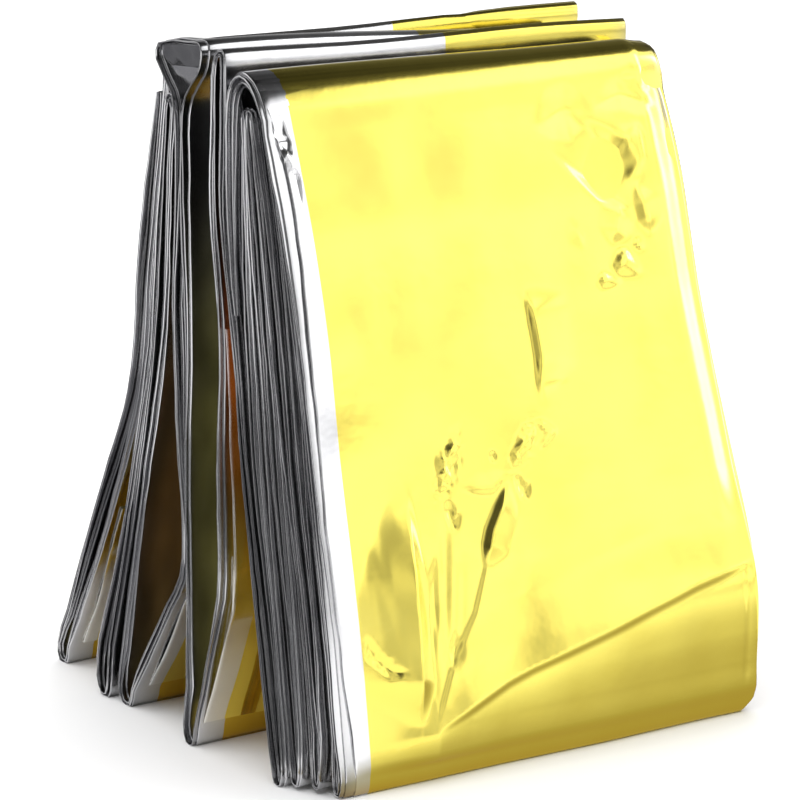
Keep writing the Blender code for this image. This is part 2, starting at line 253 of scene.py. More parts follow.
def at_height(values, z):
    """A value measured at HEIGHTS, read at another height on a smooth line."""
    if z <= HEIGHTS[0]:
        return values[0]
    if z >= HEIGHTS[-1]:
        return values[-1]
    i = max(k for k in range(len(HEIGHTS) - 1) if z >= HEIGHTS[k])
    before, after = max(i - 1, 0), min(i + 2, len(HEIGHTS) - 1)
    span = HEIGHTS[i + 1] - HEIGHTS[i]
    t = (z - HEIGHTS[i]) / span
    slope_low = (values[i + 1] - values[before]) / (HEIGHTS[i + 1] - HEIGHTS[before])
    slope_high = (values[after] - values[i]) / (HEIGHTS[after] - HEIGHTS[i])
    return (
        values[i] * (1 + 2 * t) * (1 - t) ** 2
        + values[i + 1] * t * t * (3 - 2 * t)
        + slope_low * span * t * (1 - t) ** 2
        - slope_high * span * t * t * (1 - t)
    )


def leaf_values(leaf, u):
    """The leaf's y at each of HEIGHTS at a share u of the strip's width."""
    values = []
    for k, z in enumerate(HEIGHTS):
        up = z / HEIGHTS[-1]
        if leaf <= 8:
            follow = (8 - leaf) / 7.0
            moved = FRONT_RIGHT[k] * follow + mix(BACK_RIGHT[8][0], BACK_RIGHT[8][1], up) * (1 - follow)
        else:
            moved = mix(BACK_RIGHT[leaf][0], BACK_RIGHT[leaf][1], up)
            moved += 0.35 * math.sin(math.pi * 2.0 * u + leaf) * math.sin(math.pi * up)
        values.append(LEAVES_LEFT[leaf][k] + moved * float(ease(u)))
    return values


def thickness(leaf, k, u):
    """A leaf is as thick as its neighbours leave room for."""
    here = leaf_values(leaf, u)[k]
    room = 9.0
    for other in (leaf - 1, leaf + 1):
        if other in LEAVES_LEFT:
            room = min(room, abs(leaf_values(other, u)[k] - here))
    return min(MOST_THICK[k], max(0.7, room * GAP_SHARE))


def leaf_points(leaf, u):
    """Points up one leaf: y, z, thickness."""
    values = leaf_values(leaf, u)
    thick = [thickness(leaf, k, u) for k in range(len(HEIGHTS))]
    points = []
    for z in (10.0, 16.0, 22.0, 28.0, 35.0, 42.0, 49.0, 56.0, 66.0, 76.0, 86.0, 95.0, 103.0, 110.0):
        y = at_height(values, z)
        if leaf in (9, 11) and z < 28.0:
            y = mix(values[0], values[1], (z - 10.0) / 18.0)
        points.append((y, z, at_height(thick, z)))
    return points


def foot_points(front_leaf, u):
    f = FEET[front_leaf]
    low_front = leaf_values(front_leaf, u)[0] - LEAVES_LEFT[front_leaf][0]
    low_back = leaf_values(front_leaf + 1, u)[0] - LEAVES_LEFT[front_leaf + 1][0]
    middle = (low_front + low_back) / 2
    z = f["under"] + FOOT_THICK / 2
    return [
        (f["front"] + low_front, f["under"] + 3.4, FOOT_THICK),
        (f["flat"][0] + middle, z, FOOT_THICK),
        (f["flat"][1] + middle, z, FOOT_THICK),
        (f["back"] + low_back, f["under"] + 3.4, FOOT_THICK),
    ]


def blended(left, right, u):
    t = float(ease(u))
    return [(mix(a[0], b[0], t), mix(a[1], b[1], t), 1.0) for a, b in zip(left, right)]


def arch_points(u):
    return [(y, z, t) for (y, z, _), t in zip(blended(ARCH_LEFT, ARCH_RIGHT, u), ARCH_THICK)]


def box_points(u):
    """The box-shaped ridge: behind its left end its top falls away to the back."""
    points = blended(BOX_LEFT, BOX_RIGHT, u)
    y, z, t = points[6]
    points[6] = (y, z - 1.5 * float(ease(u / 0.12)) * (1 - 0.5 * u), t)
    return points


def ridge_points(front_leaf, u):
    if front_leaf == 10:
        return box_points(u)
    r = RIDGES[front_leaf]
    front = leaf_values(front_leaf, u)
    back = leaf_values(front_leaf + 1, u)
    top = mix(r["top"][0], r["top"][1], u) + 0.25 * math.sin(2.6 * math.pi * u + front_leaf)
    thick = min(1.0, thickness(front_leaf, 5, u))
    climb = max(0.0, top - 110.0)
    lean_front = (front[5] - front[4]) / 15.0 * climb * 0.5
    lean_back = (back[5] - back[4]) / 15.0 * climb * 0.5
    middle = (front[5] + lean_front + back[5] + lean_back) / 2
    half = max(0.5, (back[5] - front[5]) * 0.28)
    if climb <= 6.0:
        return [(middle - half, top - thick / 2, thick), (middle + half, top - thick / 2, thick)]
    near, far = front[5] + lean_front * 0.6, back[5] + lean_back
    return [
        (near, 110.0 + climb * 0.6, thick),
        (near + 0.05, top - 1.3, thick),
        (near + 0.35, top - 0.55, thick),
        (mix(near, far, 0.6), top - 1.2, thick),
        (far, 110.0 + climb * 0.6, thick),
    ]


def section(u):
    """The whole back-and-forth line at one share of the width: x, y, z, thickness, leaf number."""
    line = []
    above = BACK_END["ends"]
    for leaf in range(16, 0, -1):
        down = leaf % 2 == 0
        foot = FEET[leaf - 1 if down else leaf]["ends"]
        points = leaf_points(leaf, u)
        if down:
            if leaf == 16:
                top = mix(BACK_END["top"][0], BACK_END["top"][1], u)
                line.append((mix(above[0], above[1], u), leaf_values(16, u)[5] - 0.2, top, 1.0, 16.0))
            points = points[::-1]
        else:
            above = RIDGES[leaf - 1]["ends"] if leaf > 1 else ARCH_ENDS
        for y, z, t in points:
            up = min(1.0, z / STEP_OUT_HEIGHT)
            left, right = mix(foot[0], above[0], up), mix(foot[1], above[1], up)
            line.append((mix(left, right, u), y, z, t, leaf))
        if down:
            for y, z, t in foot_points(leaf - 1, u)[::-1]:
                line.append((mix(foot[0], foot[1], u), y, z, t, leaf - 0.5))
        else:
            turn = ridge_points(leaf - 1, u)[::-1] if leaf > 1 else arch_points(u)
            for y, z, t in turn:
                line.append((mix(above[0], above[1], u), y, z, t, leaf - 0.5))
    return np.array(line)


def cuts_for(step):
    """How many steps each stretch of the line is divided into, so that none is longer than step."""
    line = section(0.3)
    runs = np.hypot(*(line[1:, 1:3] - line[:-1, 1:3]).T)
    cuts = np.maximum(1, np.ceil(runs / step).astype(int))
    bend = (line[:-1, 4] % 1 > 0) | (line[1:, 4] % 1 > 0)
    return np.where(bend, np.maximum(cuts, 2), cuts)


def smooth_line(line, cuts):
    """The line through the same points with rounded corners, divided as cuts says."""
    p = np.vstack([2 * line[0] - line[1], line, 2 * line[-1] - line[-2]])
    gaps = np.maximum(np.sqrt(np.hypot(*(p[1:, 1:3] - p[:-1, 1:3]).T)), 1e-4)
    out = []
    for i, n in enumerate(cuts):
        p0, p1, p2, p3 = p[i : i + 4]
        g0, g1, g2 = gaps[i : i + 3]
        m1 = (p1 - p0) / g0 - (p2 - p0) / (g0 + g1) + (p2 - p1) / g1
        m2 = (p2 - p1) / g1 - (p3 - p1) / (g1 + g2) + (p3 - p2) / g2
        for k in range(n):
            t = k / n
            q = (
                p1 * (1 + 2 * t) * (1 - t) ** 2
                + p2 * t * t * (3 - 2 * t)
                + m1 * g1 * t * (1 - t) ** 2
                - m2 * g1 * t * t * (1 - t)
            )
            q[3:] = mix(p1[3:], p2[3:], t)
            out.append(q)
    out.append(line[-1])
    return np.array(out)


def normals(line):
    """The direction towards the front's side of the film, at each point of the line, as y and z."""
    step = np.gradient(line[:, 1:3], axis=0)
    length = np.maximum(np.hypot(step[:, 0], step[:, 1]), 1e-6)
    return np.stack([-step[:, 1] / length, step[:, 0] / length], axis=1)


def waves(seed, longest, shortest, count=14):
    """A smooth, uneven surface of about one unit, from waves in all directions."""
    rng = np.random.default_rng(SEED + seed)
    length = longest * (shortest / longest) ** rng.random(count)
    turn = rng.random(count) * 2 * math.pi
    phase = rng.random(count) * 2 * math.pi
    size = (length / longest) ** 0.7
    size /= math.sqrt((size**2).sum() / 2)

    def surface(a, b):
        total = 0.0
        for w, d, f, s in zip(length, turn, phase, size):
            total = total + s * np.sin((a * math.cos(d) + b * math.sin(d)) * 2 * math.pi / w + f)
        return total

    return surface


def crease_height(c, a, z):
    """How far one crease lifts the film at a mm across and z mm up."""
    pts = np.array(c["points"], float)
    runs = np.hypot(*(pts[1:] - pts[:-1]).T)
    starts = np.concatenate([[0.0], np.cumsum(runs)])
    best = np.full(np.shape(a), 1e9)
    side = np.zeros(np.shape(a))
    place = np.zeros(np.shape(a))
    for i, run in enumerate(runs):
        d = (pts[i + 1] - pts[i]) / run
        ra, rz = a - pts[i, 0], z - pts[i, 1]
        t = np.clip(ra * d[0] + rz * d[1], 0, run)
        away = np.hypot(ra - d[0] * t, rz - d[1] * t)
        near = away < best
        best = np.where(near, away, best)
        side = np.where(near, d[0] * rz - d[1] * ra, side)
        place = np.where(near, (starts[i] + t) / starts[-1], place)
    fade = np.ones(np.shape(a))
    begin, end = c["taper"]
    if begin > 0:
        fade = fade * ease(place / (0.5 * begin) + 0.08)
    if end > 0:
        fade = fade * ease((1 - place) / (0.5 * end) + 0.08)
    wide = np.where(side > 0, c["wide"][0], c["wide"][1]) * (0.35 + 0.65 * fade)
    return c["proud"] * fade * np.clip(1 - best / wide, 0, 1) ** 1.3


def window(a, z, at, half, turn=0.0):
    """One at a point of the face, falling to nothing at an ellipse around it."""
    c, s = math.cos(math.radians(turn)), math.sin(math.radians(turn))
    da, dz = a - at[0], z - at[1]
    far = np.hypot((da * c + dz * s) / half[0], (dz * c - da * s) / half[1])
    return ease(1.25 - far)


def facets(seed, size, a, z):
    """Small flat facets: the distance to the nearest of a set of scattered points, in units of size."""
    rng = np.random.default_rng(SEED + seed)
    cell_a, cell_z = np.floor(a / size), np.floor(z / size)
    table = rng.random((64, 64, 2))
    best = np.full(np.shape(a), 9.0)
    for i in (-1, 0, 1):
        for j in (-1, 0, 1):
            ca, cz = cell_a + i, cell_z + j
            jitter = table[ca.astype(int) % 64, cz.astype(int) % 64]
            best = np.minimum(best, np.hypot(a / size - ca - jitter[..., 0], z / size - cz - jitter[..., 1]))
    return best


def front_shape(a, z):
    """How far the front film stands proud of the leaf's even shape, at a mm across and z mm up."""
    crease = np.interp(a, *np.array(LOWER_CREASE).T)
    lean = np.interp(a, (0.0, 8.0, 17.0, 45.0, 87.5), (0.0, 0.05, 0.125, 0.165, 0.18))
    top = np.maximum(z, crease)
    proud = lean * np.where(top < 24.0, 30.0 - top, np.clip(36.0 - top, 0.0, 12.0) ** 2 / 24.0)
    proud = proud * ease((z - 1.0) / np.maximum(crease - 1.0, 1.0) * 0.75 + 0.25)
    below = np.clip(1.0 - z / crease, 0.0, 1.0)
    proud = proud + 0.12 * crease * below * (1.0 - below) * ease(a / 20.0)
    for c in CREASES:
        proud = proud + crease_height(c, a, z)
    flutes = waves(60, 5.5, 3.2)(a + 0.10 * z, z * 0.05)
    proud = proud + 0.03 * flutes * window(a, z, (11.0, 30.0), (10.0, 24.0), -6.0)
    proud = proud + 0.055 * waves(61, 4.4, 2.6)(a - 0.16 * z, z * 0.06) * window(a, z,
        (21.5, 30.0), (5.0, 16.0), -14.0)
    for c in CRUMPLES:
        place = window(a, z, c["at"], c["half"], c["turn"])
        proud = proud + c["high"] * place * (facets(7, 1.5, a, z) + 0.5 * facets(8, 0.8, a, z) - 0.9)
    return proud - right_turn(a) * ease((z - 28.0) / 18.0)


def right_turn(a):
    """The front leaf turns back a little at its right edge."""
    return 1.2 * ease((a - 81.3) / 6.2)


class Sheet:
    """Collects the films' points, faces and the values that the material reads."""

    def __init__(self):
        self.points, self.faces, self.film, self.tone, self.gleam = [], [], [], [], []
        self.count = 0

    def add(self, xyz, across, along, layer, gilt, shade=0.0, inside_shade=0.0, gleam=None, closed=False):
        """One grid of points: rows along the strip's length, columns across it. gilt is where the gold begins,
        shade how far painted shade greys a folded edge or a dark place, inside_shade how far inside the fan the
        film lies, which darkens it with painted shade, and gleam the colour of the light that is thrown to and fro
        there."""
        rows, cols = xyz.shape[:2]
        index = np.arange(rows * cols).reshape(rows, cols) + self.count
        if closed:
            index = np.hstack([index, index[:, :1]])
        self.faces.append(
            np.stack([index[:-1, :-1], index[:-1, 1:], index[1:, 1:], index[1:, :-1]], axis=-1).reshape(-1, 4)
        )
        self.points.append(xyz.reshape(-1, 3))
        spread = np.ones((rows, cols))
        self.film.append(np.stack([across * spread, along * spread, layer * spread], axis=-1).reshape(-1, 3))
        self.tone.append(np.stack([gilt * spread, shade * spread, inside_shade * spread], axis=-1).reshape(-1, 3))
        gleam = np.zeros((1, 1, 3)) if gleam is None else gleam
        self.gleam.append((gleam * spread[..., None]).reshape(-1, 3))
        self.count += rows * cols

    def make(self, name):
        points = np.vstack(self.points)
        points = (points - np.array([CENTRE_X, CENTRE_Y, 0.0])) * MM
        points[:, 2] = np.maximum(points[:, 2], 0.00002)
        mesh = bpy.data.meshes.new(name)
        mesh.from_pydata(points.tolist(), [], np.vstack(self.faces).tolist())
        for kind, values in (("film", self.film), ("tone", self.tone), ("gleam", self.gleam)):
            made = mesh.attributes.new(kind, "FLOAT_VECTOR", "POINT")
            made.data.foreach_set("vector", np.vstack(values).astype(np.float32).ravel())
        mesh.polygons.foreach_set("use_smooth", np.ones(len(mesh.polygons), bool))
        mesh.update()
        thing = bpy.data.objects.new(name, mesh)
        bpy.context.scene.collection.objects.link(thing)
        return thing


class Spine:
    """The strip's middle line at several places across it, as arrays [row, column]."""

    def __init__(self, across, step, first_leaf=99.0):
        lines = []
        cuts = cuts_for(step)
        for a in across:
            line = smooth_line(section(a / STRIP_WIDTH), cuts)
            lines.append(np.hstack([line, normals(line)]))
        data = np.stack(lines, axis=1)
        keep = data[:, 0, 4] <= first_leaf
        steps = np.hypot(*(np.diff(data[:, len(across) // 2, 1:3], axis=0)).T)
        along = np.concatenate([[0.0], np.cumsum(steps)])
        self.along = along[keep][:, None]
        data = data[keep]
        self.across = np.array(across)[None, :]
        self.x, self.y, self.z, self.thick, self.leaf, self.ny, self.nz = np.moveaxis(data, 2, 0)
        # the leaves of the wad and the back leaves lie close on each other, and the feet's right corners are round
        close = ease((self.leaf - 1.3) * 4) * ease((7.9 - self.leaf) * 4) + ease((self.leaf - 11.7) * 4)
        self.thick = self.thick * (1.0 + np.where(self.leaf < 9.0, 0.26, 0.08)
            * close * ease((self.z - 4.0) / 6.0))
        self.x = self.x - 2.3 * ease((3.2 - self.z) / 3.2) * ease((self.across / STRIP_WIDTH - 0.9) * 10)

    def film(self, share, push=0.0, shift_x=0.0):
        """Points of a film that lies at a share of the leaf's thickness, pushed by push mm further."""
        out = share * self.thick + push
        return np.stack([self.x + shift_x, self.y + self.ny * out, self.z + self.nz * out], axis=-1)


PACKETS = ((-0.66, -0.42), (-0.40, -0.16), (-0.14, 0.12), (0.14, 0.36), (0.38, 0.62))
PACKET_LEFT = (0.35, -0.15, 0.5, -0.3, 0.2)
TURN = 0.22
STATIONS = (0.25, 1.6, 4.8, 8.0, 13.0, 19.0, 26.0, 34.0,
            42.0, 50.0, 58.0, 66.0, 73.0, 79.0, 83.5, 86.0, 87.25)
FEWER_STATIONS = (0.25, 1.6, 4.8, 13.0, 26.0, 42.0, 58.0, 73.0, 83.5, 87.25)
INNER_STATIONS = (2.5, 8.0, 16.0, 25.0, 35.0, 45.0, 55.0, 66.0, 76.0, 84.5)
FRONT_BACKING = 0.7


def front_drop(spine):
    """Films behind the front film lie a little behind it, which leaves room for its creases."""
    behind = np.where(spine.leaf > 0.99, FRONT_BACKING * ease(2.0 - spine.leaf), 0.25)
    turned = right_turn(spine.across) * ease((spine.z - 28.0) / 18.0) * ease((1.8 - spine.leaf) * 3.0)
    return -behind - 0.5 * (spine.thick - 1.0) * (spine.leaf < 0.99) - 0.6 * turned


def inside(spine):
    """How far inside the fan a point lies: nothing at the front leaf and at the tops of the ridges."""
    return ease((spine.leaf - 1.0) * 2.0) * ease((114.0 - spine.z) / 8.0)


def gleam_at(spine):
    """The colour of the light between the leaves, for the rows of a spine: shape (rows, 1, 3)."""
    leaf, z = spine.leaf[:, 0], spine.z[:, 0]
    total = np.zeros((len(z), 1, 3))
    for number, steps in GLEAM.items():
        own = ease((0.75 - np.abs(leaf - number)) * 4.0)
        heights = [height for height, colour in steps]
        for i in range(3):
            total[:, 0, i] += own * np.interp(z, heights, [colour[i] for height, colour in steps])
    return total


def packet_rings(sheet):
    """The films of a leaf lie in packets, whose outer films are joined by a flat fold at both ends."""
    rng = np.random.default_rng(SEED + 5)
    full, fewer = Spine(STATIONS, 6.5), Spine(FEWER_STATIONS, 6.5)
    last = len(PACKETS) - 1
    for p, (low, high) in enumerate(PACKETS):
        spine = full if p in (0, last) else fewer
        n = spine.across.shape[1]
        zero = 0 * spine.along
        # painted shade on the folded ends: most leaves get much of it, about one in five little, which leaves
        # bright lines
        end_shade_share = np.where(rng.random(18) < 0.20, 0.3, 0.95)
        end_shade_share[0] = 0.95
        end_shade_share = np.interp(spine.leaf[:, :1], np.arange(18) * 1.0, end_shade_share)
        own_left = np.interp(spine.leaf[:, :1], np.arange(18) * 1.0, rng.random(18) - 0.5)
        left = 0.30 * waves(10 + p, 170.0, 50.0)(spine.along, zero) + PACKET_LEFT[p] + 0.7 * own_left
        left = left + 0.05 * waves(40 + p, 12.0, 4.0)(spine.along, zero)
        right = 0.45 * waves(20 + p, 150.0, 24.0)(spine.along, zero)
        wander = 0.016 * waves(30 + p, 120.0, 24.0)(spine.along, zero)
        here = spine.across / STRIP_WIDTH
        slide = left * ease(1 - here * 6) + right * ease((here - 5 / 6) * 6)
        drop = front_drop(spine)
        front = spine.film(high + wander, drop, slide)
        back = spine.film(low + wander, drop, slide)
        middle, half = (low + high) / 2, (high - low) / 2
        ends = []
        for column, out in ((n - 1, TURN), (0, -TURN)):
            for side in (0.68, -0.68):
                f = spine.film(middle + half * side + wander, drop, slide + out)
                ends.append(f[:, column : column + 1])
        ring = np.concatenate([front, ends[0], ends[1], back[:, ::-1], ends[3], ends[2]], axis=1)
        places = spine.across[0]
        across = np.concatenate([places, (87.5, 87.5), places[::-1], (0.0, 0.0)])[None, :]
        outer_front = GOLD_FROM_FRONT if p == last else GOLD_FROM_BACK
        gilt = np.concatenate([np.full(n, outer_front), (20.0, 20.0),
                               np.full(n, GOLD_FROM_BACK), (20.0, 20.0)])
        # painted shade: the folded ends and the films within 3 mm of them are greyed, where the narrow gaps between
        # the films would shade them
        near_end = ease(1 - places / 3.0) + ease(1 - (STRIP_WIDTH - places) / 3.0)
        shade = np.concatenate([near_end * 0.8, (0.9, 0.9), near_end[::-1], (0.95, 0.8)])[None, :] * end_shade_share
        shade = shade * (0.85 + 0.15 * waves(70 + p, 60.0, 9.0)(spine.along, zero))
        # painted shade inside the fan, except at the left end
        inside_shade = inside(spine)[:, :1] * (1.0 - np.minimum(ease(1.6 - across / 1.6), 1.0))
        odd = (np.round(spine.leaf[:, :1]) % 2 > 0.5) * 1.0
        faces_us = np.zeros((len(odd), ring.shape[1]))
        place = np.arange(ring.shape[1])[None, :]
        faces_front = (place < n) & (p == last)
        faces_low = (place > n + 1) & (place < 2 * n + 2) & (p == 0)
        faces_us[:, :n] = odd * (p == last)
        faces_us[:, n + 2 : 2 * n + 2] = (1.0 - odd) * (p == 0)
        gleam = gleam_at(spine) * (faces_us * (1.0 - np.minimum(ease(2.4 - across / 1.0), 1.0)))[..., None]
        # painted shade high up in the pockets between the middle leaves and on the low films tucked behind them
        pockets = ease((spine.leaf[:, :1] - 7.6) * 4.0) * ease((12.6 - spine.leaf[:, :1]) * 4.0)
        tucked = faces_low * ease((spine.leaf[:, :1] - 11.3) * 5.0) * ease((117.5 - spine.z[:, :1]) / 2.5)
        dim = np.where(faces_front, 1.0, np.maximum(inside_shade, tucked)) * pockets * ease((spine.z[:, :1] - 66.0) / 26.0)
        shade = np.maximum(shade, 0.95 * dim)
        sheet.add(ring, across, spine.along, p * 37.0, gilt[None, :], shade, inside_shade, gleam, closed=True)


def end_gusset(sheet):
    """The left end of the box-shaped ridge is tucked in: a flat facet greyed with painted shade, and a bright one
    below it.
    """
    top = ((0.35, 52.8, 121.4), (0.35, 46.6, 122.2), (0.45, 40.4, 122.9))
    fold = ((1.1, 52.0, 117.9), (1.6, 47.0, 118.2), (2.0, 41.6, 118.4))
    low = ((2.4, 48.6, 113.6), (2.8, 47.2, 113.2), (2.6, 45.8, 113.6))
    rows = []
    for first, last, count in ((top, fold, 6), (fold, low, 7)):
        for k in range(count):
            rows.append([np.array(a) * (1 - k / (count - 1)) + np.array(b) * k / (count - 1)
                         for a, b in zip(first, last)])
    grid = np.array(rows)
    fine = []
    for t in np.linspace(0, 2, 9):
        i = min(1, int(t))
        fine.append(grid[:, i] * (1 - (t - i)) + grid[:, i + 1] * (t - i))
    grid = np.stack(fine, axis=1)
    # painted shade greys the upper facet; the lower one is left bright
    for part, shade in ((grid[:6], 0.75), (grid[6:], 0.0)):
        bulge = 0.12 * waves(80, 6.0, 3.0)(part[..., 1], part[..., 2])
        part = part + np.stack([bulge, 0 * bulge, 0 * bulge], axis=-1)
        rows_up = np.arange(part.shape[0])[:, None] * 0.8
        sheet.add(part, part[..., 1] - 39.0, rows_up, 300.0, 60.0, shade, 0.0)


def inner_films(sheet):
    """The other films inside the packets, out of sight."""
    spine = Spine(INNER_STATIONS, 9.0)
    for k, share in enumerate((-0.43, -0.22, 0.01, 0.22)):
        # painted shade in full, as they lie out of sight inside the packets
        sheet.add(spine.film(share, front_drop(spine)), spine.across, spine.along,
                  200.0 + k, GOLD_FROM_BACK, 1.0, 1.0)


def front_film(sheet):
    """The outer film of the front leaf, its foot and its arch, with the creases of the photographed face."""
    inner = list(np.concatenate([np.linspace(0.0, 38.0, 112)[:-1], np.linspace(38.0, STRIP_WIDTH, 86)]))
    spine = Spine(inner, 0.50, first_leaf=2.0)
    low = (spine.leaf[:, 0] < 2.0) | (spine.z[:, 0] < 14.0)
    for name in ("x", "y", "z", "thick", "leaf", "ny", "nz", "along"):
        setattr(spine, name, getattr(spine, name)[low])
    a = spine.across + 0 * spine.z
    on_face = ease((1.6 - spine.leaf) * 4)
    push = front_shape(a, spine.z) * on_face + 0.10 * waves(50, 60.0, 24.0)(a, spine.along)
    push = push + 0.05 * waves(51, 34.0, 12.0)(a, spine.along * 0.3) * on_face * ease((112.0 - spine.z) / 12.0)
    push = push - 0.5 * (spine.thick - 1.0) * (spine.leaf < 0.99)
    edge = np.interp(spine.z[:, 0], *np.array(FRONT_EDGE).T)[:, None]
    edge = edge + 0.15 * waves(52, 30.0, 7.0)(spine.along, 0 * spine.along)
    notch = np.interp(spine.z, (104.0, 109.0, 112.6, 114.6, 119.0), (0.0, -0.2, -1.0, -0.3, 0.0))
    slide = edge * ease(1 - a / 30.0) + notch * ease((a - 80.0) / 7.0)
    face = spine.film(0.5, push, slide)
    across = spine.across + slide
    turns = []
    for column, out in ((0, -1.0), (-1, 1.0)):
        points = []
        for angle, inward in ((50.0, 0.0), (90.0, 0.0), (130.0, 0.0), (180.0, 0.4), (180.0, 3.0)):
            sink = -0.16 * (1 - math.cos(math.radians(angle)))
            reach = out * (0.16 * math.sin(math.radians(angle)) - inward)
            f = spine.film(0.5, push + sink, slide + reach)
            points.append(f[:, column])
        turns.append(np.stack(points, axis=1))
    grid = np.concatenate([turns[0][:, ::-1], face, turns[1]], axis=1)
    wide = np.concatenate([np.repeat(across[:, :1], 5, axis=1), across,
                           np.repeat(across[:, -1:], 5, axis=1)], axis=1)
    # painted shade on the arch's back slope, and on the folded rim high on the right edge
    back_slope = 0.92 * ease(spine.ny[:, :1] * 4.0 + 0.6)
    rim = (0.8 * ease((wide - 85.9) / 0.6) * ease((spine.z[:, :1] - 102.0) / 4.0)
           * ease((114.0 - spine.z[:, :1]) / 2.0))
    sheet.add(grid, wide, spine.along, 500.0, GOLD_FROM_FRONT, np.maximum(back_slope, rim))


def loose_film(sheet, leaf, share, edge, push, reach=40.0):
    """The outer film at the foot of one leaf's front.

    edge is its left edge and push how far it hangs forward, both by height.
    """
    spine = Spine(list(np.concatenate([np.arange(0.3, 8.0, 0.7), np.linspace(8.0, reach, 9)])), 1.6)
    rows = (spine.leaf[:, 0] > leaf - 0.4) & (spine.leaf[:, 0] < leaf + 0.47) & (spine.z[:, 0] < push[-1][0])
    for name in ("x", "y", "z", "thick", "leaf", "ny", "nz", "along"):
        setattr(spine, name, getattr(spine, name)[rows])
    out = np.interp(spine.z, *np.array(push).T) + 0.10 * waves(90 + leaf, 30.0, 9.0)(spine.across, spine.z)
    for crease in (26.0, 33.0):
        out = out + 0.22 * np.clip(1.0 - np.abs(spine.z - crease - 0.05 * spine.across) / 1.4, 0.0, 1.0)
    slide = np.interp(spine.z, *np.array(edge).T) * ease(1.2 - spine.across / 20.0)
    face = spine.film(share, out, slide)
    under = []
    for inward, sink in ((-0.12, -0.10), (0.2, -0.22), (2.5, -0.25)):
        under.append(spine.film(share, out + sink, slide + inward)[:, 0])
    grid = np.concatenate([np.stack(under[::-1], axis=1), face], axis=1)
    places = np.concatenate([(0.3, 0.1, 0.0), spine.across[0]])[None, :] + slide[:, :1]
    # painted shade greys the turned-under edge; the film also gets some painted shade for lying inside the fan, and
    # half the glow between the leaves
    shade = np.concatenate([(0.6, 0.3, 0.0), np.zeros(face.shape[1])])[None, :]
    sheet.add(grid, places, spine.along, 400.0 + leaf, GOLD_FROM_FRONT, shade, 0.45, 0.5 * gleam_at(spine))


def node(tree, kind, inputs=None, **values):
    made = tree.nodes.new(kind)
    for key, value in values.items():
        setattr(made, key, value)
    for key, value in (inputs or {}).items():
        if isinstance(value, bpy.types.NodeSocket):
            tree.links.new(value, made.inputs[key])
        else:
            made.inputs[key].default_value = value
    return made


def colour_mix(tree, share, first, last):
    inputs = {0: share}
    for socket, colour in ((6, first), (7, last)):
        inputs[socket] = (*colour, 1.0) if isinstance(colour, tuple) else colour
    return node(tree, "ShaderNodeMix", inputs, data_type="RGBA").outputs[2]


def film_material():
    """Metallised film: silver, and gold from a sharp line on; painted shade on folded edges and inside the fan, and
    soft waves.
    """
    material = bpy.data.materials.new("gold_silver_film")
    material.use_nodes = True
    tree = material.node_tree
    shader = tree.nodes["Principled BSDF"]
    film = node(tree, "ShaderNodeAttribute", attribute_name="film").outputs["Vector"]
    tone = node(tree, "ShaderNodeAttribute", attribute_name="tone").outputs["Vector"]
    across = node(tree, "ShaderNodeSeparateXYZ", {0: film}).outputs["X"]
    tones = node(tree, "ShaderNodeSeparateXYZ", {0: tone})
    beyond = node(tree, "ShaderNodeMath", {0: across, 1: tones.outputs["X"]}, operation="SUBTRACT").outputs[0]
    gold = node(tree, "ShaderNodeMapRange", {"Value": beyond, "From Min": -0.06, "From Max": 0.06}).outputs[0]
    mottle = node(tree, "ShaderNodeTexNoise", {"Vector": film, "Scale": 0.09, "Detail": 2.0}).outputs["Fac"]
    gold_tint = colour_mix(tree, mottle, (0.87, 0.72, 0.125), (0.91, 0.78, 0.165))
    silver_tint = colour_mix(tree, mottle, (0.78, 0.78, 0.80), (0.86, 0.86, 0.87))
    # painted shade: inside the fan the film turns a dimmer warm grey or brownish gold, and where shade is set it is
    # greyed
    inside_shade_tint = colour_mix(tree, gold, (0.66, 0.65, 0.61), (0.66, 0.43, 0.04))
    colour = colour_mix(tree, gold, silver_tint, gold_tint)
    colour = colour_mix(tree, tones.outputs["Z"], colour, inside_shade_tint)
    colour = colour_mix(tree, tones.outputs["Y"], colour, (0.25, 0.25, 0.26))
    tree.links.new(colour, shader.inputs["Base Color"])
    # between the leaves the light is thrown to and fro far more often than is traced: a faint glow stands for it
    streaks = node(tree, "ShaderNodeVectorMath",
                  {0: film, 1: (0.12, 0.05, 0.9)}, operation="MULTIPLY").outputs[0]
    murk = node(tree, "ShaderNodeTexNoise", {"Vector": streaks, "Scale": 1.0, "Detail": 2.0}).outputs["Fac"]
    murk = node(tree, "ShaderNodeMapRange",
                {"Value": murk, "From Min": 0.35, "From Max": 0.65, "To Min": 0.35, "To Max": 1.7})
    gleam = node(tree, "ShaderNodeAttribute", attribute_name="gleam").outputs["Vector"]
    gleam = node(tree, "ShaderNodeVectorMath",
                 {0: gleam, "Scale": murk.outputs[0]}, operation="SCALE").outputs[0]
    tree.links.new(gleam, shader.inputs["Emission Color"])
    shader.inputs["Emission Strength"].default_value = 1.0
    shader.inputs["Metallic"].default_value = 1.0
    rough = node(
        tree,
        "ShaderNodeMapRange",
        {"Value": mottle, "From Min": 0.3, "From Max": 0.7, "To Min": 0.13, "To Max": 0.19},
    )
    tree.links.new(rough.outputs[0], shader.inputs["Roughness"])
    soft = node(tree, "ShaderNodeTexNoise", {"Vector": film, "Scale": 0.24, "Detail": 2.0}).outputs["Fac"]
    bump = node(tree, "ShaderNodeBump", {"Height": soft, "Strength": 1.0, "Distance": 0.00003})
    tree.links.new(bump.outputs[0], shader.inputs["Normal"])
    return material


